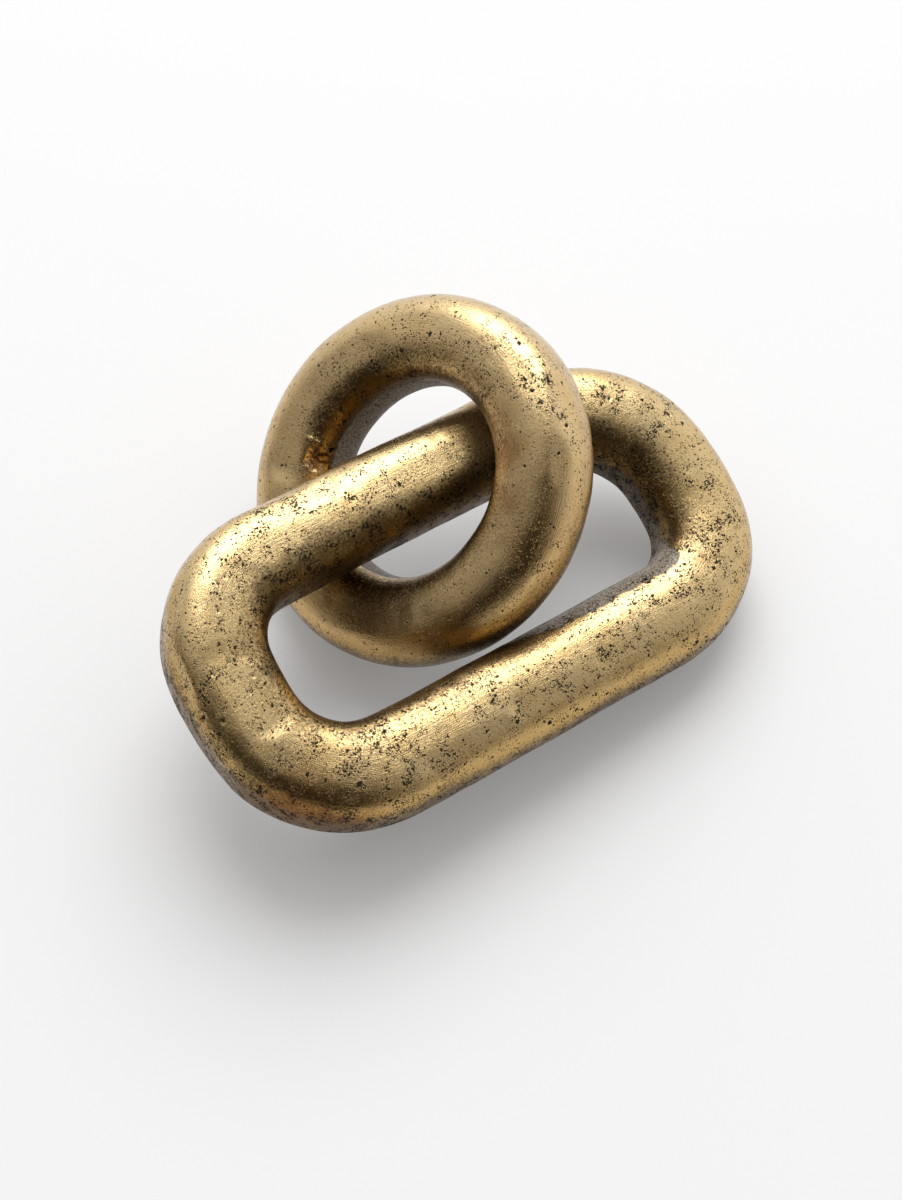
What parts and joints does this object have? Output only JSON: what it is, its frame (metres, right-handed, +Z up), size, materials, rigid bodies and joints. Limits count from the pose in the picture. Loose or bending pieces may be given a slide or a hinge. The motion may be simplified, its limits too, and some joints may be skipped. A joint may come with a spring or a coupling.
{
  "type": "metal knot sculpture",
  "caption": "Decorative knot: a thick rounded ring threaded loosely on one long side of an oblong link, both cast in rough antique brass, lying as dropped on a shelf or table",
  "frame": {"origin": "Middle of the whole object's footprint, on the surface that it rests on, with the two pieces lying as pictured", "axes": "+X runs along the oblong link towards its low right end, +Y towards the rear rail that carries the ring, +Z up"},
  "size_m": [0.2024, 0.1514, 0.0892],
  "materials": {
    "link_metal": "rough sand-cast brass with open pits, ground and satin polished on the outer walls, antique brown in the hollows, with raw grey casting skin on the inner walls",
    "ring_metal": "cast brass, brushed to a satin with fine scattered pits and antique brown in the hollows",
    "braze": "braze filed flush, with a torn edge and dark open pores"
  },
  "bodies": {
    "link_body": {"oblong_link": "link_metal"},
    "ring_body": {"ring": "ring_metal", "closing_braze": "braze"}
  },
  "joints": [
    {"name": "ring_swing", "type": "hinge", "parent": "link_body", "child": "ring_body", "pos_m": [0.00709, 0.01599, 0.04464], "axis": [0.994, 0, -0.1097], "continuous": true}
  ]
}
